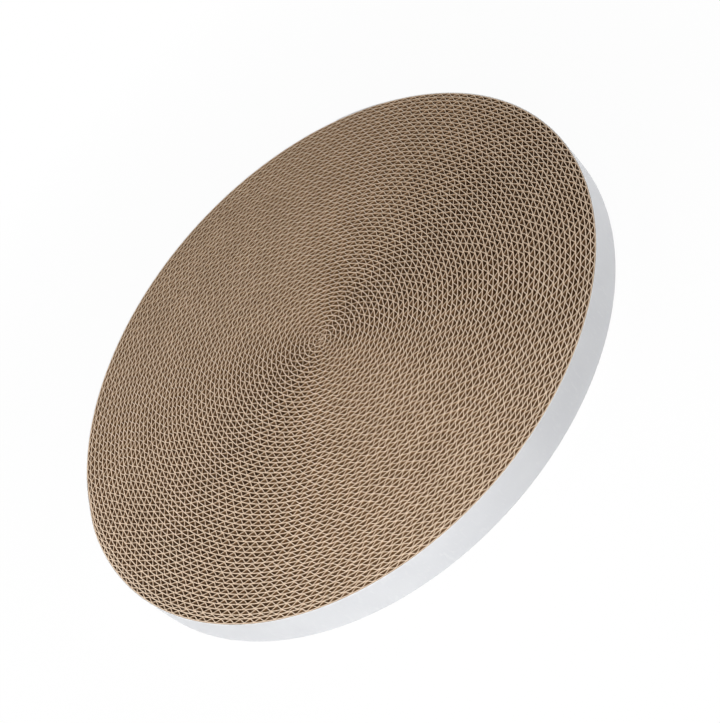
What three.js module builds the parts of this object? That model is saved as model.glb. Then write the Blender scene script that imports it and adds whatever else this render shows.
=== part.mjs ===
// Round cat scratching pad: a roll of single-face corrugated board with a white card band round it.
//
// The board is two kraft papers: a flat liner, and a fluted medium glued to the liner's inner side.
// It is wound on itself from the middle out with its flutes on edge, so that both round faces show
// the cut ends of the flutes. The last turn is pressed flat towards its tail, which makes the rim
// round, and the band is glued over it with a lap at its end.
//
// Millimetres, +Z up. The origin is under the middle of the pad, on the surface that it lies on.

import * as THREE from 'three';

// Pad
const PAD_DIAMETER = 400; // over the band, beside its lap
const PAD_HEIGHT = 24; // width that the board and the band are cut to

// Winding. A real pad has about 55 turns and 4400 flutes; the counts here are lower, in the same
// proportion, and each paper is as thick as the real papers that it stands for.
const TURNS = 16; // of the liner; the medium joins it after the first
const FLUTES = 352;
const LINER_THICKNESS = 0.9;
const MEDIUM_THICKNESS = 0.8;
const EYE_RADIUS = 3; // eye in the middle of the roll, where the liner begins
const TAIL_HEIGHT = 2.5; // height that the pressed flutes keep at the tail
const TAIL_ANGLE = 159; // degrees from +X, where the outer end of the board lies
const LINER_BEND = 24; // degrees, the most that the liner turns at one corner

// Band
const BAND_THICKNESS = 0.6;
const BAND_STEPS = 120; // straight steps in one turn of the band
const LAP_LENGTH = 24; // glued overlap of the band's outer end
const LAP_RISE = 16; // length over which the outer end climbs on to the band
const LAP_ANGLE = 45; // degrees from +X, where the band begins

// Fits
const GLUE_LINE = 0.3; // between papers that are glued or pressed together
const LAP_GLUE = 0.45; // between the band and its lapped end

const FULL_TURN = 2 * Math.PI;

// Radii of the winding, each at the middle of the liner's thickness
const bandInnerRadius = PAD_DIAMETER / 2 - BAND_THICKNESS;
const tailRadius = bandInnerRadius - GLUE_LINE - LINER_THICKNESS / 2;
const flatPitch = LINER_THICKNESS + TAIL_HEIGHT + 2 * GLUE_LINE;
const flatTurnStart = TURNS - 1;
const flatTurnRadius = tailRadius - flatPitch;
const firstRadius = EYE_RADIUS + LINER_THICKNESS / 2;
const pitch = (flatTurnRadius - firstRadius) / flatTurnStart;
const firstFluteTurn = 1;
const firstFluteRadius = firstRadius + pitch * firstFluteTurn;

// Radius of the liner after a number of turns
function linerRadius(turn) {
  const flatTurns = Math.max(0, turn - flatTurnStart);
  return firstRadius + pitch * (turn - flatTurns) + flatPitch * flatTurns;
}

// The winding runs clockwise as it grows, seen from above, and ends at the tail.
function polarPoint(turn, radius) {
  const angle = THREE.MathUtils.degToRad(TAIL_ANGLE) + FULL_TURN * (TURNS - turn);
  return new THREE.Vector2(radius * Math.cos(angle), radius * Math.sin(angle));
}

// Turns that a length of strip makes, starting from a radius and growing by a pitch each turn
function turnsOfLength(length, startRadius, turnPitch) {
  const endRadius = Math.sqrt(startRadius ** 2 + (2 * turnPitch * length) / FULL_TURN);
  return (endRadius - startRadius) / turnPitch;
}

const spiralLength = Math.PI * (flatTurnStart - firstFluteTurn) * (firstFluteRadius + flatTurnRadius);
const flatTurnLength = Math.PI * (flatTurnRadius + tailRadius);
const flutePitch = (spiralLength + flatTurnLength) / FLUTES;

// Turn at which a flute lies, counted in flutes from the inner end of the medium
function turnOfFlute(flute) {
  const length = flute * flutePitch;
  if (length <= spiralLength) {
    return firstFluteTurn + turnsOfLength(length, firstFluteRadius, pitch);
  }
  return flatTurnStart + turnsOfLength(length - spiralLength, flatTurnRadius, flatPitch);
}

// Turns between two others, close enough for the liner to bend round them
function bendsBetween(from, to) {
  const count = Math.ceil(((to - from) * 360) / LINER_BEND);
  return Array.from({ length: count }, (_, bend) => from + ((to - from) * (bend + 1)) / count);
}

// The liner has a corner at each glued flute tip, and more of them where the roll is tight.
function linerTurns() {
  const turns = [0, ...bendsBetween(0, firstFluteTurn)];
  for (let flute = 0; flute < FLUTES; flute += 1) {
    turns.push(...bendsBetween(turnOfFlute(flute), turnOfFlute(flute + 1)));
  }
  return turns;
}

const linerCorners = linerTurns();

// Radius at which the liner's straight step between two corners crosses a turn
function linerStepRadius(turn) {
  const next = linerCorners.findIndex((corner) => corner >= turn);
  if (next < 1) {
    return linerRadius(turn);
  }
  const before = linerCorners[next - 1];
  const after = linerCorners[next];
  const inner = linerRadius(before);
  const outer = linerRadius(after);
  const fromBefore = Math.sin((turn - before) * FULL_TURN);
  const toAfter = Math.sin((after - turn) * FULL_TURN);
  return (inner * outer * Math.sin((after - before) * FULL_TURN)) / (inner * fromBefore + outer * toAfter);
}

function linerPath() {
  return linerCorners.map((turn) => polarPoint(turn, linerRadius(turn)));
}

// How far a flute's tip reaches past the middle of its paper, where two slanted legs meet. The other
// ends of the legs lie at another radius, on both sides of the tip.
function tipReach(radius, otherRadius, legAngle) {
  const across = otherRadius * Math.sin(legAngle);
  const along = Math.abs(radius - otherRadius * Math.cos(legAngle));
  return MEDIUM_THICKNESS / 2 / Math.sin(Math.atan2(across, along));
}

// The medium zigzags between the liner that it is glued to and the turn before it.
function mediumPath() {
  const path = [];
  for (let half = 0; half <= 2 * FLUTES; half += 1) {
    const turn = turnOfFlute(half / 2);
    const legAngle = (turnOfFlute(half / 2 + 0.5) - turn) * FULL_TURN;
    const outerFace = linerStepRadius(turn) - LINER_THICKNESS / 2 - GLUE_LINE;
    const innerFace = linerStepRadius(turn - 1) + LINER_THICKNESS / 2 + GLUE_LINE;
    const glued = half % 2 === 0;
    const outerTip = outerFace - tipReach(outerFace, innerFace, legAngle);
    const innerTip = innerFace + tipReach(innerFace, outerFace, legAngle);
    path.push(polarPoint(turn, glued ? outerTip : innerTip));
  }
  return path;
}

// The band runs once round the pad, then climbs over its own beginning and laps it.
function bandPath() {
  const radius = bandInnerRadius + BAND_THICKNESS / 2;
  const lapRadius = radius + BAND_THICKNESS + LAP_GLUE;
  const start = THREE.MathUtils.degToRad(LAP_ANGLE);
  const path = [];
  const climbStart = FULL_TURN - LAP_RISE / radius;
  const roundSteps = Math.floor((climbStart * BAND_STEPS) / FULL_TURN);
  for (let step = 0; step <= roundSteps; step += 1) {
    const angle = (step * FULL_TURN) / BAND_STEPS;
    path.push(new THREE.Vector2(radius * Math.cos(start + angle), radius * Math.sin(start + angle)));
  }
  const lapSteps = Math.ceil((LAP_LENGTH / lapRadius / FULL_TURN) * BAND_STEPS) + 1;
  for (let step = 0; step <= lapSteps; step += 1) {
    const angle = start + FULL_TURN + ((LAP_LENGTH / lapRadius) * step) / lapSteps;
    path.push(new THREE.Vector2(lapRadius * Math.cos(angle), lapRadius * Math.sin(angle)));
  }
  return path;
}

// Unit vector to the left of a straight step
function leftOf(from, to) {
  return new THREE.Vector2(from.y - to.y, to.x - from.x).normalize();
}

// Corner of a strip's side, on the mitre of the two steps that meet there, at an offset to the left
function mitrePoint(path, index, offset) {
  const last = path.length - 1;
  const before = leftOf(path[Math.max(0, index - 1)], path[Math.max(1, index)]);
  const after = leftOf(path[Math.min(last - 1, index)], path[Math.min(last, index + 1)]);
  const mitre = before.add(after);
  return path[index].clone().addScaledVector(mitre, (2 * offset) / mitre.lengthSq());
}

// A strip of paper standing on edge along a path
function strip(name, path, thickness, material) {
  const leftSide = path.map((point, index) => mitrePoint(path, index, thickness / 2));
  const rightSide = path.map((point, index) => mitrePoint(path, index, -thickness / 2));
  const outline = new THREE.Shape([...rightSide, ...leftSide.reverse()]);
  const geometry = new THREE.ExtrudeGeometry(outline, { depth: PAD_HEIGHT, bevelEnabled: false });
  const mesh = new THREE.Mesh(geometry, material);
  mesh.name = name;
  return mesh;
}

// Least gap between stretches of a strip that lie further apart along it than a given length
function leastGap(path, thickness, apart) {
  const sampleStep = 3;
  const samples = [];
  let travelled = 0;
  for (let index = 1; index < path.length; index += 1) {
    const length = path[index].distanceTo(path[index - 1]);
    const count = Math.ceil(length / sampleStep);
    for (let sample = 0; sample < count; sample += 1) {
      const point = path[index - 1].clone().lerp(path[index], sample / count);
      samples.push({ point, at: travelled + (length * sample) / count });
    }
    travelled += length;
  }
  let least = Infinity;
  samples.forEach((one, index) => {
    for (let other = index + 1; other < samples.length; other += 1) {
      if (samples[other].at - one.at > apart) {
        least = Math.min(least, one.point.distanceTo(samples[other].point));
      }
    }
  });
  return least - thickness;
}

const kraftLiner = new THREE.MeshStandardMaterial({ color: 0xd2b795, roughness: 0.9, metalness: 0 });
const kraftMedium = new THREE.MeshStandardMaterial({ color: 0xc4a681, roughness: 0.92, metalness: 0 });
const whiteCard = new THREE.MeshStandardMaterial({ color: 0xeeeef0, roughness: 0.55, metalness: 0 });

const linerRun = linerPath();
const mediumRun = mediumPath();
const bandRun = bandPath();

const pad = new THREE.Group();
pad.add(strip('liner_strip', linerRun, LINER_THICKNESS, kraftLiner));
pad.add(strip('fluted_medium', mediumRun, MEDIUM_THICKNESS, kraftMedium));
pad.add(strip('edge_band', bandRun, BAND_THICKNESS, whiteCard));

const linerGap = leastGap(linerRun, LINER_THICKNESS, 2 * flutePitch);
const mediumGap = leastGap(mediumRun, MEDIUM_THICKNESS, 4 * flutePitch);
const bandGap = leastGap(bandRun, BAND_THICKNESS, PAD_DIAMETER);
console.log(`turn pitch ${pitch.toFixed(2)} mm, flute pitch ${flutePitch.toFixed(2)} mm`);
console.log(`least gap to itself: liner_strip ${linerGap.toFixed(2)} mm`);
console.log(`least gap to itself: fluted_medium ${mediumGap.toFixed(2)} mm`);
console.log(`least gap to itself: edge_band ${bandGap.toFixed(2)} mm`);

export default pad;
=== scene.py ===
# %% [markdown]
# # A round cat scratching pad
# The real pad is a roll. A long strip of single-face corrugated board, which is a flat paper with a
# fluted paper glued to it, is wound on itself from the middle out, and a white card band holds the
# rim. We load the imported model as the frame, so that every piece made here goes where it belongs,
# and we read the pad's size from the box of its band. All lengths are in metres.

# %% Load the frame
import math

import bpy
import numpy as np
from mathutils import Matrix, Vector


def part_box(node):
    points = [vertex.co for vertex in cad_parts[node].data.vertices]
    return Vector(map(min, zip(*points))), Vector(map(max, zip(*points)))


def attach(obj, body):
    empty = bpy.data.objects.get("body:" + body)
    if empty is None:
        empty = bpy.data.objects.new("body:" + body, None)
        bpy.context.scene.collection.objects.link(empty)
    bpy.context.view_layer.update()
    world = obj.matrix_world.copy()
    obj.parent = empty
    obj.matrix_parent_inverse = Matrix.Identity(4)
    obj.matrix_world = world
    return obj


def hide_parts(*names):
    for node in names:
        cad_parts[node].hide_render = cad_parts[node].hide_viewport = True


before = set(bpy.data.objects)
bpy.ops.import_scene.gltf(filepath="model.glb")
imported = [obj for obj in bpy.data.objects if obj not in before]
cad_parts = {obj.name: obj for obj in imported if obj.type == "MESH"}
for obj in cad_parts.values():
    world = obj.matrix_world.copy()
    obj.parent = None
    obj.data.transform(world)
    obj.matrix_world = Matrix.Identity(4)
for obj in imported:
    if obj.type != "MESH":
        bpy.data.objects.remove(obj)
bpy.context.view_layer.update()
band_low, band_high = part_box("edge_band")
PAD_RADIUS = (band_high.x - band_low.x) / 2
PAD_HEIGHT = band_high.z - band_low.z
print(f"frame: {len(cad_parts)} nodes, pad radius {PAD_RADIUS:.3f} m, height {PAD_HEIGHT:.3f} m")

# %% [markdown]
# ## The camera
# A camera was fitted to the outline of the pad's upper face, which is a circle seen at a slant. The
# fit gives the distance in pad radii, how far the face leans back, the roll of the picture, and the
# pixel where the middle of the face falls. Building the camera's matrix from those numbers is safer
# than aiming by eye, and with no shift it works from any other side too.

# %% Camera
PHOTO_WIDTH, PHOTO_HEIGHT = 720, 723  # pixels
FOCAL_PIXELS = 1650
SENSOR_WIDTH = 36.0  # millimetres, as Blender counts them
CAMERA_DISTANCE = 5.346 * PAD_RADIUS
FACE_TILT = math.radians(-49.82)
PICTURE_ROLL = math.radians(-47.59)
FACE_CENTRE_PIXEL = (320.92, 339.63)


def photo_camera():
    """Camera whose picture shows the middle of the upper face at its pixel in the photograph."""
    turn = Matrix.Rotation(PICTURE_ROLL, 3, "Z") @ Matrix.Rotation(FACE_TILT, 3, "X")
    across = (FACE_CENTRE_PIXEL[0] - PHOTO_WIDTH / 2) / FOCAL_PIXELS
    down = (FACE_CENTRE_PIXEL[1] - PHOTO_HEIGHT / 2) / FOCAL_PIXELS
    face_centre = Vector((across, down, 1.0)) * CAMERA_DISTANCE
    # The fit's axes run right, down and forward. Blender's run right, up and backward.
    flip = Matrix.Diagonal((1, -1, -1))
    rotation = (flip @ turn @ flip).transposed()
    data = bpy.data.cameras.new("photo_camera")
    data.sensor_width = SENSOR_WIDTH
    data.lens = FOCAL_PIXELS * SENSOR_WIDTH / max(PHOTO_WIDTH, PHOTO_HEIGHT)
    camera = bpy.data.objects.new("photo_camera", data)
    place = Vector((0, 0, PAD_HEIGHT)) - rotation @ (flip @ face_centre)
    camera.matrix_world = Matrix.Translation(place) @ rotation.to_4x4()
    bpy.context.scene.collection.objects.link(camera)
    return camera


bpy.context.scene.camera = photo_camera()
print("camera at", [round(v, 3) for v in bpy.context.scene.camera.matrix_world.translation])

# %% [markdown]
# ## How the board is wound
# The liner's radius grows by one board thickness each turn, and seen from above the roll grows
# clockwise. So a point of the strip needs only one number, the turns from the inner end: its direction
# and its radius follow from that. The papers are drawn a little thicker than real ones, as their fuzzy
# cut edges look in the photograph.

# %% Sizes of the board and the roll
TURN_PITCH = 3.6e-3  # thickness of the board
FLUTE_PITCH = 7.88e-3
LINER_THICKNESS = 0.56e-3
MEDIUM_THICKNESS = 0.52e-3
BAND_THICKNESS = 0.45e-3
GLUE_LINE = 0.15e-3  # under the band
EYE_RADIUS = 2.0e-3
FULL_TURN = 2 * math.pi

rim_radius = PAD_RADIUS - BAND_THICKNESS - GLUE_LINE - LINER_THICKNESS / 2
turn_count = (rim_radius + TURN_PITCH - EYE_RADIUS) / TURN_PITCH
strip_length = FULL_TURN * (EYE_RADIUS * turn_count + TURN_PITCH * turn_count**2 / 2)
flute_count = int(strip_length / FLUTE_PITCH)
print(f"winding: {turn_count:.1f} turns, {strip_length:.1f} m of board with {flute_count} flutes")

# %% Places along the strip
TAIL_AZIMUTH = math.radians(157)  # direction of the outer end


def azimuth(turn):
    """Direction of a point of the strip, which ends at the tail and grows clockwise."""
    return TAIL_AZIMUTH + FULL_TURN * (turn_count - turn)


def on_face(turn, radius):
    """Points on the pad's face, from turns and radii."""
    angle = azimuth(turn)
    return np.stack([radius * np.cos(angle), radius * np.sin(angle)], axis=-1)


def turn_at(length):
    """Turns that a length of strip has made, from the inner end."""
    start = EYE_RADIUS
    return (np.sqrt(start**2 + TURN_PITCH * length / math.pi) - start) / TURN_PITCH


print(f"half of the strip is wound after {turn_at(strip_length / 2):.1f} turns")

# %% [markdown]
# ## Uneven turns
# A perfect spiral looks drawn. Slow waves, alike on turns that lie next to each other, stand for uneven
# tension, and the first turns, which were started by hand, have kinks. Sums of sines give both: unlike
# random points they stay smooth from turn to turn, so that no two turns cross.

# %% Waves and kinks
WAVES = ((2, 0.11, 0.4), (3, 0.17, 2.1), (5, 0.23, 4.0), (8, 0.31, 1.2))  # lobes, drift, phase
WAVE_HEIGHT = 0.2e-3
WAVE_FADE_TURNS = 6  # turns below the rim over which the waves fade
WAVE_AT_RIM = 0.15  # share of a wave that is left at the rim
KINKS = ((1.0, 3, 0.0, 0.7), (0.8, 7, 2.0, 0.0))  # height, lobes, drift, phase
KINK_HEIGHT = 0.45e-3
KINKS_FADE = 1.0  # turn at which the kinks begin to fade
KINKS_END = 2.6


def smooth(share):
    """Soft step from 0 to 1."""
    share = np.clip(share, 0, 1)
    return share * share * (3 - 2 * share)


def unevenness(turn):
    """Slow waves in the radius of the winding."""
    waves = np.zeros_like(turn)
    for lobes, drift, phase in WAVES:
        waves += np.sin(lobes * azimuth(turn) + drift * turn + phase) / lobes
    return WAVE_HEIGHT * waves * np.clip((turn_count - turn) / WAVE_FADE_TURNS, WAVE_AT_RIM, 1)


def crumple(turn):
    """Kinks in the radius of the first turns."""
    kinks = np.zeros_like(turn)
    for height, lobes, drift, phase in KINKS:
        kinks += height * np.sin(lobes * azimuth(turn) + drift * turn + phase)
    return KINK_HEIGHT * kinks * smooth((KINKS_END - turn) / (KINKS_END - KINKS_FADE))


sample_turns = np.linspace(0, turn_count, 5000)
print(f"waves up to {1e3 * np.abs(unevenness(sample_turns)).max():.2f} mm")

# %% [markdown]
# ## The rim and the middle of the roll
# At the rim the photograph shows a round outline, so the strip's outer end, the tail, is crushed flat,
# the turns under it are pressed in, and the step of one layer is made up within a sixth of a turn. Deep
# in the roll the radius grows evenly, and the first turns are looser. All this is one formula for the
# radius, which liner, flutes and band then share, so that they stay in touch.

# %% Radius of the liner
TAIL_SQUASH = 14 / 360  # turns before the tail's end over which it is squashed
TAIL_CRUSH = 0.35  # share of the papers' thickness left at the tail's end
TAIL_PRESS = 0.6e-3  # how far the turns under the tail are pressed in
PRESS_REACH = (10, 2)  # degrees on the two sides of the tail
PRESS_DEPTH = 4  # turns
TAIL_TURNS = 0.5  # the outer end itself, which is not pressed in
TAIL_RISE = 1.8e-3  # rise of the outer turn above the round rim, before its squashed end
TAIL_RISE_TURNS = 0.045
RIM_SETTLE_TURNS = 0.065  # turns over which most of a step of one layer is made up
EVEN_DEPTH = 12  # turns below the rim from which the radius grows evenly
RIM_TIGHTNESS = 0.8e-3  # outward shift of the turns under the outer one
LOOSE_START = 1.7e-3  # inward shift of the first turns
LOOSE_TURNS = 6
SLACK = 2.0e-3  # inward shift of the whole roll, fading towards the rim
SLACK_POWER = 1.5


def tail_press(turn):
    """How far the turns under the tail are pressed in."""
    past_tail = (azimuth(turn) - TAIL_AZIMUTH + math.pi) % FULL_TURN - math.pi
    reach = np.radians(np.where(past_tail > 0, *PRESS_REACH))
    near = np.exp(-((past_tail / reach) ** 2))
    from_tail = turn_count - turn
    return TAIL_PRESS * near * np.exp(-from_tail / PRESS_DEPTH) * (from_tail > TAIL_TURNS)


def wound_radius(turn):
    """Radius of the liner before the tail is squashed."""
    from_tail = turn_count - turn
    layer = np.floor(from_tail)
    share = from_tail - layer
    evenness = np.clip(layer / EVEN_DEPTH, 0, 1)
    step = (1 - np.exp(-share / RIM_SETTLE_TURNS)) * (1 - evenness) + share * evenness
    tight = RIM_TIGHTNESS * smooth(from_tail - 1)
    inner = rim_radius + tight - TURN_PITCH * (layer - 1 + step) - tail_press(turn)
    outer = rim_radius + TAIL_RISE * np.exp(-share / TAIL_RISE_TURNS) - tail_press(turn)
    loose = LOOSE_START * np.exp(-turn / LOOSE_TURNS)
    slack = SLACK * np.clip(1 - turn / turn_count, 0, 1) ** SLACK_POWER
    return np.where(layer < 1, outer, inner) - (loose + slack) + unevenness(turn) + crumple(turn)


def unsquashed(turn):
    """Share from 0 at the tail's end to 1 where the strip keeps its full height."""
    return smooth((turn_count - turn) / TAIL_SQUASH)


def crushed(turn):
    """Share of its thickness that a paper keeps, which is less at the squashed tail."""
    return TAIL_CRUSH + (1 - TAIL_CRUSH) * unsquashed(turn)


def liner_radius(turn):
    """Radius of the middle of the liner after a number of turns."""
    crushed_board = TAIL_CRUSH * (LINER_THICKNESS / 2 + MEDIUM_THICKNESS)
    flat = wound_radius(turn - 1) + LINER_THICKNESS / 2 + crushed_board
    return flat + (wound_radius(turn) - flat) * unsquashed(turn)


sample_radii = 1e3 * liner_radius(np.array([2.0, 20.0, 50.0]))
print("liner radius after 2, 20 and 50 turns:", sample_radii.round(1), "mm")

# %% [markdown]
# ## Paper on edge
# Liner, medium and band are all strips that stand on edge along a path, so one helper makes them: it
# sets a small cross-section at every point of the path and joins neighbours with quads. Building the
# arrays with numpy and handing them to Blender in one go keeps a hundred thousand faces quick.

# %% Cross-sections along a path
PLAIN_SECTION = ((1, 0, 0), (1, 1, 0), (-1, 1, 0), (-1, 0, 0))
PLAIN_FINISH = (0, 1, 2, 1)  # left side, upper cut, right side, lower cut
LEAST_MITRE = 0.8  # keeps the corners of tight folds from growing spikes


def side_normals(path):
    """Vectors to the left of a path, lengthened at corners so that the strip keeps its thickness."""
    step = np.diff(path, axis=0)
    left = np.stack([-step[:, 1], step[:, 0]], axis=1)
    left /= np.linalg.norm(left, axis=1, keepdims=True)
    before = np.vstack([left[:1], left])
    after = np.vstack([left, left[-1:]])
    mitre = before + after
    return 2 * mitre / np.maximum((mitre**2).sum(1, keepdims=True), LEAST_MITRE)


def strip_vertices(path, thickness, high, section):
    """Corners of the section at each point of the path. A section corner is a side (1 is left), 0 for
    the lower or 1 for the upper edge, and a share of the thickness by which it is rounded off."""
    side, upper, inset = (np.array(column, float) for column in zip(*section))
    sideways = thickness[:, None] / 2 * side
    flat = path[:, None, :] + side_normals(path)[:, None, :] * sideways[:, :, None]
    lift = inset * thickness[:, None] * (1 - 2 * upper)
    height = high[:, None] * upper + lift
    return np.concatenate([flat, height[:, :, None]], axis=2)


def strip_faces(points, corners):
    """Quads between neighbouring sections, one row of quads for each side of the section."""
    first = np.arange(points - 1)[:, None] * corners
    here = np.arange(corners)[None, :]
    beside = (here + 1) % corners
    after = first + corners
    return np.stack([first + here, first + beside, after + beside, after + here], axis=2)


right_angle = np.array([(0, 0), (1, 0), (1, 1)], float)
print(f"a square corner is {np.linalg.norm(side_normals(right_angle)[1]):.2f} times as wide as the strip")

# %% [markdown]
# ## A map for long strips
# The map of a strip is for baking its colours into a square image. Blender's own unwrapping would
# lay a paper many metres long out as one hair-thin line. So the strip is cut into rows that fill the
# square, and each row holds all the sides of the section above each other.

# %% Strips and their maps
ROW_SHAPE = 1.1  # length of a row over the height of all rows
ROW_SPARE = 1.01  # spare room at the end of a row
ROW_MARGIN = 0.03  # share of a row's height kept free below and above
LEAST_SIDE = 0.04  # share of a row that a narrow side gets at least
PAPER_CREASE = 62  # degrees, above which an edge is drawn sharp


def lay_out_rows(mesh, path, vertices):
    """Bake map of a strip: its length in rows, and in each row the sides of its section. Returns
    how many rows there are."""
    points, corners = vertices.shape[:2]
    length = np.concatenate([[0], np.cumsum(np.linalg.norm(np.diff(path, axis=0), axis=1))])
    widths = np.linalg.norm(np.roll(vertices[0], -1, axis=0) - vertices[0], axis=1)
    shares = np.maximum(widths / widths.sum(), LEAST_SIDE)
    edge = np.concatenate([[0], np.cumsum(shares) / shares.sum()])
    edge = ROW_MARGIN + (1 - 2 * ROW_MARGIN) * edge
    rows = max(1, round(math.sqrt(length[-1] / (ROW_SHAPE * widths.sum()))))
    row_length = ROW_SPARE * length[-1] / rows
    row = np.floor(length[:-1] / row_length)
    start = (length[:-1] - row * row_length) / row_length
    end = (length[1:] - row * row_length) / row_length
    across = np.stack([start, start, end, end], axis=1) / ROW_SPARE
    up = np.stack([edge[:-1], edge[1:], edge[1:], edge[:-1]], axis=1)
    places = np.zeros((points - 1, corners, 4, 2))
    places[..., 0] = across[:, None, :]
    places[..., 1] = (row[:, None, None] + up[None, :, :]) / rows
    ends = np.tile(places[0, 0, 0], 2 * corners)
    layer = mesh.uv_layers.new(name="OFBake")
    layer.data.foreach_set("uv", np.concatenate([places.ravel(), ends]).astype(np.float32))
    return rows


def strip(name, path, thickness, high, materials,
          section=PLAIN_SECTION, finish=PLAIN_FINISH, crease=PAPER_CREASE):
    """A closed strip of paper on edge. The finish lists a material for each side of the section."""
    vertices = strip_vertices(path, thickness, high, section)
    points, corners = vertices.shape[:2]
    quads = strip_faces(points, corners)
    last = (points - 1) * corners
    ends = [list(range(corners - 1, -1, -1)), list(range(last, last + corners))]
    mesh = bpy.data.meshes.new(name)
    mesh.from_pydata(vertices.reshape(-1, 3).tolist(), [], quads.reshape(-1, 4).tolist() + ends)
    for material in materials:
        mesh.materials.append(material)
    indices = np.concatenate([np.tile(finish, points - 1), [1, 1]]).astype(np.int32)
    mesh.polygons.foreach_set("material_index", indices)
    mesh.shade_smooth()
    mesh.set_sharp_from_angle(angle=math.radians(crease))
    rows = lay_out_rows(mesh, path, vertices)
    mesh.update()
    piece = bpy.data.objects.new(name, mesh)
    bpy.context.scene.collection.objects.link(piece)
    print(f"{name}: {len(mesh.polygons)} faces, {rows} rows on its map")
    return piece


# %% [markdown]
# ## Kraft paper and white card
# Kraft paper is brown wood fibre pressed flat: its colour drifts over centimetres, it carries finer
# fibres that are paler, and it has hardly any gloss. Its cut edge is paler, because torn fibre ends
# scatter the light. A little way below each cut face the walls carry painted shade, which darkens
# and warms them further into the flutes. The side that took the glue differs a little from the open
# side. The card of the band is bleached and smoother. Noise in object coordinates suits all of them,
# because it needs no map and flows on from turn to turn.

# %% Helpers for nodes
def fill_inputs(tree, node, inputs):
    """Sets inputs of a node, by name or number, to values, or links the outputs of others to them."""
    for name, value in inputs.items():
        if isinstance(value, bpy.types.NodeSocket):
            tree.links.new(value, node.inputs[name])
        else:
            node.inputs[name].default_value = value


def add_node(tree, kind, inputs, **settings):
    """A new shader node with its settings and inputs."""
    node = tree.nodes.new(f"ShaderNode{kind}")
    for name, value in settings.items():
        setattr(node, name, value)
    fill_inputs(tree, node, inputs)
    return node


def maths(tree, operation, first, second):
    """Result of an operation on two values, each a number or a socket."""
    return add_node(tree, "Math", {0: first, 1: second}, operation=operation).outputs["Value"]


def object_place(tree):
    """Place on the object that is shaded."""
    return add_node(tree, "TexCoord", {}).outputs["Object"]


def noise(tree, scale, detail, stretch=(1, 1, 1)):
    """Noise in object coordinates, stretched along the axes."""
    mapping = add_node(tree, "Mapping", {"Vector": object_place(tree), "Scale": stretch})
    inputs = {"Vector": mapping.outputs["Vector"], "Scale": scale, "Detail": detail}
    return add_node(tree, "TexNoise", inputs).outputs["Fac"]


def ramp(tree, value, first, second):
    """Colour that follows a value between two stops, each a place from 0 to 1 and a colour."""
    node = add_node(tree, "ValToRGB", {"Fac": value})
    for element, (place, colour) in zip(node.color_ramp.elements, (first, second)):
        element.position = place
        element.color = (*colour, 1)
    return node.outputs["Color"]


def blend_colours(tree, share, first, second, kind="MIX"):
    """Second colour over the first, by a share that is a number or a socket."""
    inputs = {"Factor": share, "A": first, "B": second}
    return add_node(tree, "Mix", inputs, data_type="RGBA", blend_type=kind).outputs["Result"]


# %% Paper
DRIFT_SCALE = 38  # patches to a metre, as for the fibres
DRIFT_DETAIL, FLECK_DETAIL, BUMP_DETAIL = 4, 5, 6
DRIFT_STOPS = (0.3, 0.7)
FLECK_STOPS = (0.55, 0.72)
FIBRE_STRETCH = (1, 1, 0.35)  # fibres stand along the flutes
BUMP_STRENGTH = 0.5
PAINTED_SHADE_DEPTH = (0.1e-3, 0.8e-3)  # depths below a cut face where the walls' painted shade begins and where it is full
BLACK, WHITE = (0, 0, 0), (1, 1, 1)


def painted_shade_share(tree):
    """Share of the walls' painted shade, from 0 at a cut face to 1 a little way into the flutes."""
    height = add_node(tree, "SeparateXYZ", {"Vector": object_place(tree)}).outputs["Z"]
    depth = maths(tree, "MINIMUM", height, maths(tree, "SUBTRACT", PAD_HEIGHT, height))
    inputs = {"Value": depth, "From Min": PAINTED_SHADE_DEPTH[0], "From Max": PAINTED_SHADE_DEPTH[1]}
    return add_node(tree, "MapRange", inputs, interpolation_type="SMOOTHSTEP").outputs["Result"]


def paper(name, tones, fleck, roughness, bump_depth, fibre_scale, painted_shade=None, gloss=0.25):
    """A fibrous sheet: drifting tones, flecks of loose fibre, dull, with a felt-like bump. A colour for
    painted shade, where one is given, darkens and warms it a little way below each cut face and further
    in."""
    material = bpy.data.materials.new(name)
    material.use_nodes = True
    tree = material.node_tree
    drift = ramp(tree, noise(tree, DRIFT_SCALE, DRIFT_DETAIL), *zip(DRIFT_STOPS, tones))
    fibres = noise(tree, fibre_scale, FLECK_DETAIL, FIBRE_STRETCH)
    flecks = ramp(tree, fibres, *zip(FLECK_STOPS, (BLACK, WHITE)))
    colour = blend_colours(tree, flecks, drift, (*fleck, 1))
    # Painted shade: the colour is multiplied by the shade colour away from the cut faces.
    if painted_shade:
        shaded_colour = blend_colours(tree, 1.0, colour, (*painted_shade, 1), "MULTIPLY")
        colour = blend_colours(tree, painted_shade_share(tree), colour, shaded_colour)
    felt = noise(tree, fibre_scale, BUMP_DETAIL)
    bump = {"Height": felt, "Distance": bump_depth, "Strength": BUMP_STRENGTH}
    fill_inputs(tree, tree.nodes["Principled BSDF"], {
        "Base Color": colour,
        "Roughness": roughness,
        "Specular IOR Level": gloss,
        "Normal": add_node(tree, "Bump", bump).outputs["Normal"],
    })
    return material


# Depth below each cut face at which the walls' painted shade is full.
print(f"painted shade builds up over {1e3 * PAINTED_SHADE_DEPTH[1]:.1f} mm of paper below each cut face")

# %% The papers of the pad
KRAFT_SIDE = {"roughness": 0.9, "bump_depth": 2e-5, "fibre_scale": 900}
KRAFT_CUT = {"roughness": 0.95, "bump_depth": 3e-5, "fibre_scale": 1400}

# The wall papers carry painted shade, which darkens and warms them away from the cut faces.
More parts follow.
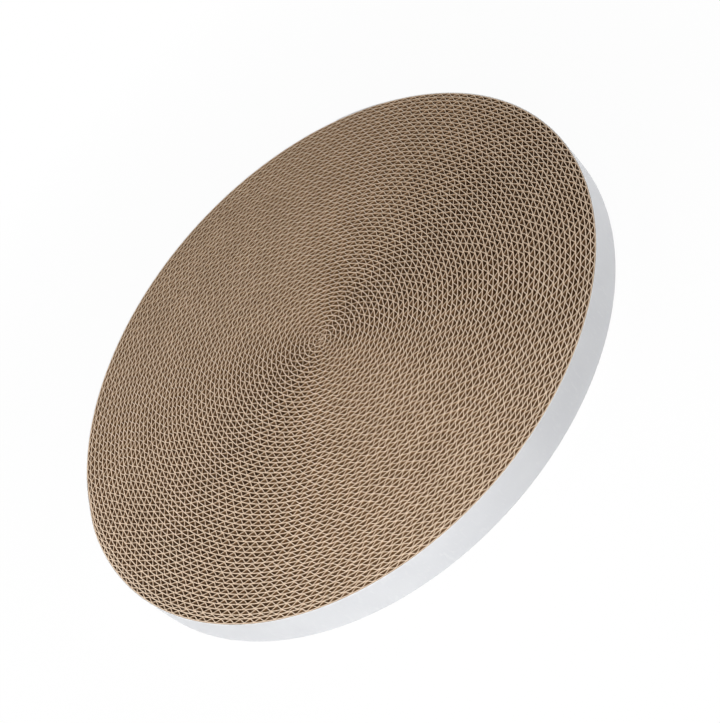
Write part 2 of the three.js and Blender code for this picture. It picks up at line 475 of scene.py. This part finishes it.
open_paper = paper(
    "kraft_open_side", ((0.348, 0.213, 0.112), (0.416, 0.258, 0.138)), (0.47, 0.305, 0.175),
    painted_shade=(0.58, 0.525, 0.47), **KRAFT_SIDE,
)
glued_paper = paper(
    "kraft_glued_side", ((0.38, 0.233, 0.123), (0.447, 0.279, 0.150)), (0.50, 0.33, 0.19),
    painted_shade=(0.62, 0.565, 0.51), **KRAFT_SIDE,
)
cut_edge = paper(
    "kraft_cut_edge", ((0.682, 0.527, 0.388), (0.75, 0.587, 0.438)), (0.795, 0.638, 0.484),
    **KRAFT_CUT,
)
flute_edge = paper(
    "kraft_flute_edge", ((0.628, 0.485, 0.357), (0.69, 0.54, 0.403)), (0.73, 0.586, 0.445),
    **KRAFT_CUT,
)
white_card = paper(
    "white_card", ((0.69, 0.698, 0.719), (0.72, 0.728, 0.745)), (0.735, 0.742, 0.755),
    roughness=0.6, bump_depth=8e-6, fibre_scale=600, gloss=0.05,
)
card_edge = paper(
    "white_card_edge", ((0.74, 0.74, 0.745), (0.79, 0.79, 0.795)), (0.82, 0.82, 0.82),
    roughness=0.8, bump_depth=2e-5, fibre_scale=1200,
)
papers = (open_paper, glued_paper, cut_edge, flute_edge, white_card, card_edge)
print("papers:", [material.name for material in papers])

# %% [markdown]
# ## The sawn edge
# The board is sawn to its width, and the saw leaves each paper a little higher or lower than its
# neighbour. Seeded random numbers give that at every point of a strip: slow ones that drift over some
# points, and quick ones from point to point. The same helpers make the flutes uneven later.

# %% Random wear
SPREAD_LIMIT = 2  # cuts off the rare large numbers
SAW_ROUGHNESS = 0.1e-3
SAW_DRIFT, SAW_JITTER = 0.6, 0.3  # shares of the slow and the quick unevenness
SAW_DRIFT_POINTS = 40
random = np.random.default_rng(7)


def quick_spread(count):
    """Random numbers about 0, with no link between neighbours."""
    return np.clip(random.normal(size=count), -SPREAD_LIMIT, SPREAD_LIMIT)


def slow_spread(count, reach):
    """Random numbers about 0 that drift from one to the next over a reach of so many."""
    knots = np.arange(0, count + reach, reach)
    drift = np.interp(np.arange(count), knots, random.normal(size=len(knots)))
    return np.clip(drift, -SPREAD_LIMIT, SPREAD_LIMIT)


def cut_height(count):
    """Height of the upper cut edge along a strip, which a saw leaves a little uneven."""
    drift = SAW_DRIFT * slow_spread(count, SAW_DRIFT_POINTS)
    return PAD_HEIGHT + SAW_ROUGHNESS * (drift + SAW_JITTER * quick_spread(count))


highest_cut = SAW_ROUGHNESS * SPREAD_LIMIT * (SAW_DRIFT + SAW_JITTER)
print(f"the cut edges rise at most {1e3 * highest_cut:.2f} mm above the face")

# %% [markdown]
# ## The liner
# The flat paper of the board is one unbroken spiral. Three points to a flute keep it round at the rim
# and still follow the small waves of the winding. Paper cannot be bent round as tightly as the eye, so
# there the inner end is crushed into a few folds, which a short zigzag before the spiral makes.

# %% Liner
POINTS_PER_FLUTE = 3
FIRST_ROUND_TURN = 1.0
FOLDS = 3
FOLD_STEPS = 10  # points along one fold
FOLD_REACH = 1.7e-3
FOLD_GAP = 1.3e-3
FOLD_AZIMUTH = math.radians(-10)


def eye_folds():
    """Crushed inner end of the liner: a few folds that lie across the eye."""
    fold = np.arange(FOLDS)
    ends = np.where(fold % 2 == 0, -1, 1) * FOLD_REACH
    steps = np.linspace(0, FOLDS - 1, FOLD_STEPS * (FOLDS - 1) + 1)
    along = np.interp(steps, fold, ends)
    across = FOLD_GAP * (steps - (FOLDS - 1) / 2)
    cos, sin = math.cos(FOLD_AZIMUTH), math.sin(FOLD_AZIMUTH)
    return np.stack([along * cos - across * sin, along * sin + across * cos], axis=1)


def make_liner():
    """The liner strip, replacing its CAD node."""
    turn = turn_at(np.linspace(0, strip_length, flute_count * POINTS_PER_FLUTE))
    turn = turn[turn > FIRST_ROUND_TURN]
    path = np.vstack([eye_folds(), on_face(turn, liner_radius(turn))])
    thickness = np.full(len(path), LINER_THICKNESS)
    thickness[-len(turn):] *= crushed(turn)
    materials = (open_paper, cut_edge, glued_paper)
    piece = strip("liner_roll", path, thickness, cut_height(len(path)), materials)
    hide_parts("liner_strip")
    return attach(piece, "root")


liner = make_liner()

# %% [markdown]
# ## The fluted medium
# The fluted paper zigzags from the liner that it is glued to down to the turn before it. Its legs are
# straight and its tips are pressed round by the corrugating rolls, so each flute needs four points
# at each tip and none on the legs. Winding leaves the flutes uneven: their pitch varies, they lean one
# way and then the other, and some stop short of the turn below. In the tight middle the paper is drawn
# thinner, so that the rings of the liner stand out there. The strip is made in stretches, because a
# single mesh of all the flutes is heavy to handle.

# %% Fluted medium
TIP_SHAPE = (  # share of the flute's length, and its height there
    (0.04, 1.0), (0.1, 0.92), (0.4, 0.08), (0.46, 0.0),
    (0.54, 0.0), (0.6, 0.08), (0.9, 0.92), (0.96, 1.0),
)
STRETCHES = ("inner", "middle", "outer")
TIGHT_THINNING = 0.4  # share of the thickness lost in the middle of the roll
TIGHT_TURNS = 14
PITCH_SPREAD = 0.045  # shares of a flute's length, and of its height for the tips
LEAN_SPREAD = 0.03
LEAN_FLUTES = 9  # flutes over which the lean drifts
TIP_SPREAD = 0.04
LEAST_TIP_RADIUS = 0.25e-3  # inner tips beside the eye stay out of its middle


def medium_path():
    """Middle of the fluted paper from the eye to the tail, and its thickness there."""
    places, heights = (np.array(column) for column in zip(*TIP_SHAPE))
    widths = FLUTE_PITCH * (1 + PITCH_SPREAD * quick_spread(flute_count))
    starts = np.cumsum(widths) - widths
    lean = LEAN_SPREAD * slow_spread(flute_count, LEAN_FLUTES)
    short = TIP_SPREAD * np.abs(quick_spread(flute_count))
    shifted = places + lean[:, None] * (1 - heights)
    along = (starts[:, None] + widths[:, None] * shifted).ravel()
    turn = turn_at(along * strip_length / widths.sum())
    wave = (heights + short[:, None] * (1 - heights)).ravel()[turn > FIRST_ROUND_TURN]
    turn = turn[turn > FIRST_ROUND_TURN]
    thinning = 1 - TIGHT_THINNING * np.exp(-turn / TIGHT_TURNS)
    thickness = MEDIUM_THICKNESS * crushed(turn) * thinning
    outer = liner_radius(turn) - (LINER_THICKNESS * crushed(turn) + thickness) / 2
    inner = liner_radius(turn - 1) + (LINER_THICKNESS + thickness) / 2
    inner = np.maximum(inner, LEAST_TIP_RADIUS)
    return on_face(turn, inner + (outer - inner) * wave), thickness


def make_medium():
    """The fluted strip in three stretches, which together replace its CAD node."""
    path, thickness = medium_path()
    high = cut_height(len(path))
    materials = (glued_paper, flute_edge, open_paper)
    cuts = np.linspace(0, len(path) - 1, len(STRETCHES) + 1).astype(int)
    pieces = []
    for stretch, start, end in zip(STRETCHES, cuts[:-1], cuts[1:]):
        part = slice(start, end + 1)
        piece = strip(f"flutes_{stretch}", path[part], thickness[part], high[part], materials)
        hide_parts("fluted_medium")
        pieces.append(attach(piece, "root"))
    return pieces


medium = make_medium()

# %% [markdown]
# ## The band
# A strip of white card goes once round the rim and laps over its own beginning at the back. It follows
# the roll, so at the tail it bridges the step from one turn to the next. Its cut edges are rounded a
# little, because a sharp edge would not catch the light as real card does.

# %% Band
CARD_SECTION = (
    (1, 0, 0.35), (1, 1, 0.35), (0.45, 1, 0), (-0.45, 1, 0),
    (-1, 1, 0.35), (-1, 0, 0.35), (-0.45, 0, 0), (0.45, 0, 0),
)
CARD_FINISH = (0, 1, 1, 1, 0, 1, 1, 1)
CARD_CREASE = 30  # degrees, as for the other papers
BAND_POINTS = 720
LAP_AZIMUTH = math.radians(45)
LAP_LENGTH = 0.024
TAIL_BRIDGE = math.radians(8)  # how far before the tail the band lifts off to bridge its step


def rim_bump(angle):
    """Height of the outer turn above the round rim. The band bridges the step at the tail."""
    past_tail = (angle - TAIL_AZIMUTH) / FULL_TURN % 1
    bump = liner_radius(turn_count - past_tail) - rim_radius
    tail_end = liner_radius(np.array([turn_count])) - rim_radius
    bridge = tail_end * smooth(1 - (1 - past_tail) * FULL_TURN / TAIL_BRIDGE)
    return np.maximum(bump, bridge)


def make_band():
    """The card band, replacing its CAD node."""
    lap = LAP_LENGTH / PAD_RADIUS
    angle = np.linspace(0, FULL_TURN + lap, BAND_POINTS)
    climb = np.clip((angle - (FULL_TURN - lap)) / lap, 0, 1)
    direction = angle + LAP_AZIMUTH
    flat_radius = PAD_RADIUS - BAND_THICKNESS / 2
    radius = flat_radius + rim_bump(direction) + (BAND_THICKNESS + GLUE_LINE) * smooth(climb)
    path = np.stack([radius * np.cos(direction), radius * np.sin(direction)], axis=1)
    thickness = np.full(BAND_POINTS, BAND_THICKNESS)
    high = np.full(BAND_POINTS, PAD_HEIGHT)
    materials = (white_card, card_edge)
    piece = strip("card_band", path, thickness, high, materials, CARD_SECTION, CARD_FINISH, CARD_CREASE)
    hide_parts("edge_band")
    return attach(piece, "root")


band = make_band()
print("pieces:", [piece.name for piece in (liner, *medium, band)])

# %% [markdown]
# ## Floor and world
# The photograph is a studio shot on white. To the camera the floor and the world are mostly plain
# white, and the rest of the floor's colour is lit, so that a soft shadow stays round the pad. More
# light would make the floor white as well, but it would bleach the pad. Under the pad the floor is only
# lit, so that the flutes are dark from straight above too.

# %% Floor and world
FLOOR_HALF = 6.0
FLOOR_GAP = 0.2e-3  # keeps the floor clear of the pad's under face
FLOOR_COLOUR = (0.85, 0.85, 0.85, 1)
FLOOR_ROUGHNESS = 0.9
COVERED_RADIUS = 0.99 * PAD_RADIUS  # floor under the pad
SHADOW_RADII = (1.1 * PAD_RADIUS, 2.5 * PAD_RADIUS)  # where the shadow begins to fade and ends
SHADOW_WHITENESS = 0.95  # plain white in the floor beside the pad
WORLD_COLOUR = (0.97, 0.985, 1.0, 1)
WORLD_STRENGTH = 0.02


def background_rays(tree):
    """1 for rays from the camera, and for mirrored and refracted ones, and 0 for light."""
    rays = add_node(tree, "LightPath", {}).outputs
    mirrored = maths(tree, "MAXIMUM", rays["Is Glossy Ray"], rays["Is Transmission Ray"])
    return maths(tree, "MAXIMUM", rays["Is Camera Ray"], mirrored)


def floor_material():
    """Pale and lit, with plain white over it for the camera, less beside the pad and none under it."""
    material = bpy.data.materials.new("white_floor")
    material.use_nodes = True
    tree = material.node_tree
    lit = tree.nodes["Principled BSDF"]
    fill_inputs(tree, lit, {"Base Color": FLOOR_COLOUR, "Roughness": FLOOR_ROUGHNESS})
    from_middle = add_node(tree, "VectorMath", {0: object_place(tree)}, operation="LENGTH")
    distance = from_middle.outputs["Value"]
    whiteness = add_node(tree, "MapRange", {
        "Value": distance,
        "From Min": SHADOW_RADII[0],
        "From Max": SHADOW_RADII[1],
        "To Min": SHADOW_WHITENESS,
        "To Max": 1.0,
    })
    uncovered = maths(tree, "GREATER_THAN", distance, COVERED_RADIUS)
    seen = maths(tree, "MULTIPLY", background_rays(tree), uncovered)
    share = maths(tree, "MULTIPLY", seen, whiteness.outputs["Result"])
    white = add_node(tree, "Emission", {"Strength": 1.0})
    both = add_node(tree, "MixShader", {
        "Fac": share,
        1: lit.outputs["BSDF"],
        2: white.outputs["Emission"],
    })
    tree.links.new(both.outputs["Shader"], tree.nodes["Material Output"].inputs["Surface"])
    return material


def white_floor():
    """A wide pale floor that the camera sees as white with a faint shadow."""
    half = FLOOR_HALF
    corners = [(-half, -half, 0), (half, -half, 0), (half, half, 0), (-half, half, 0)]
    mesh = bpy.data.meshes.new("floor")
    mesh.from_pydata(corners, [], [(0, 1, 2, 3)])
    mesh.materials.append(floor_material())
    floor = bpy.data.objects.new("floor", mesh)
    floor.location.z = -FLOOR_GAP
    bpy.context.scene.collection.objects.link(floor)


def studio_world():
    """White to the camera and to reflections, and a dim even light for everything else."""
    world = bpy.data.worlds.new("studio")
    bpy.context.scene.world = world
    world.use_nodes = True
    tree = world.node_tree
    light = tree.nodes["Background"]
    fill_inputs(tree, light, {"Color": WORLD_COLOUR, "Strength": WORLD_STRENGTH})
    white = add_node(tree, "Background", {"Color": (*WHITE, 1), "Strength": 1.0})
    both = add_node(tree, "MixShader", {
        "Fac": background_rays(tree),
        1: light.outputs["Background"],
        2: white.outputs["Background"],
    })
    tree.links.new(both.outputs["Shader"], tree.nodes["World Output"].inputs["Surface"])


white_floor()
studio_world()
print(f"floor {2 * FLOOR_HALF:.0f} m wide, world at {WORLD_STRENGTH}")

# %% [markdown]
# ## Lamps
# A soft lamp close to the front of the pad explains which flutes look dark on each side of it, low
# lamps at the left and right light the band, and a small one at the back left lifts the far side. A low
# lamp behind the pad keeps the band white from the back as well. The lamps are square areas, like the
# softboxes of a studio, and each one is placed by its direction from the pad, as it would be on a set.

# %% Lamps
def softbox(name, bearing, elevation, distance, size, power):
    """A square lamp that faces the pad. Its direction is in degrees and its power in watts."""
    data = bpy.data.lights.new(name, "AREA")
    data.shape = "SQUARE"
    data.size = size
    data.energy = power
    lamp = bpy.data.objects.new(name, data)
    turn, rise = math.radians(bearing), math.radians(elevation)
    away = Vector((math.cos(turn) * math.cos(rise), math.sin(turn) * math.cos(rise), math.sin(rise)))
    lamp.location = away * distance
    lamp.rotation_euler = away.to_track_quat("Z", "Y").to_euler()
    bpy.context.scene.collection.objects.link(lamp)


softbox("front_lamp", bearing=-99, elevation=47, distance=0.56, size=0.35, power=2.0)
softbox("left_lamp", bearing=-150, elevation=16, distance=1.4, size=0.5, power=5.8)
softbox("right_lamp", bearing=5, elevation=13, distance=1.8, size=0.7, power=18.5)
softbox("back_lamp", bearing=168, elevation=43, distance=0.48, size=0.25, power=0.9)
softbox("rear_lamp", bearing=82, elevation=5, distance=2.0, size=0.5, power=14)
bpy.context.scene.view_settings.view_transform = "Standard"
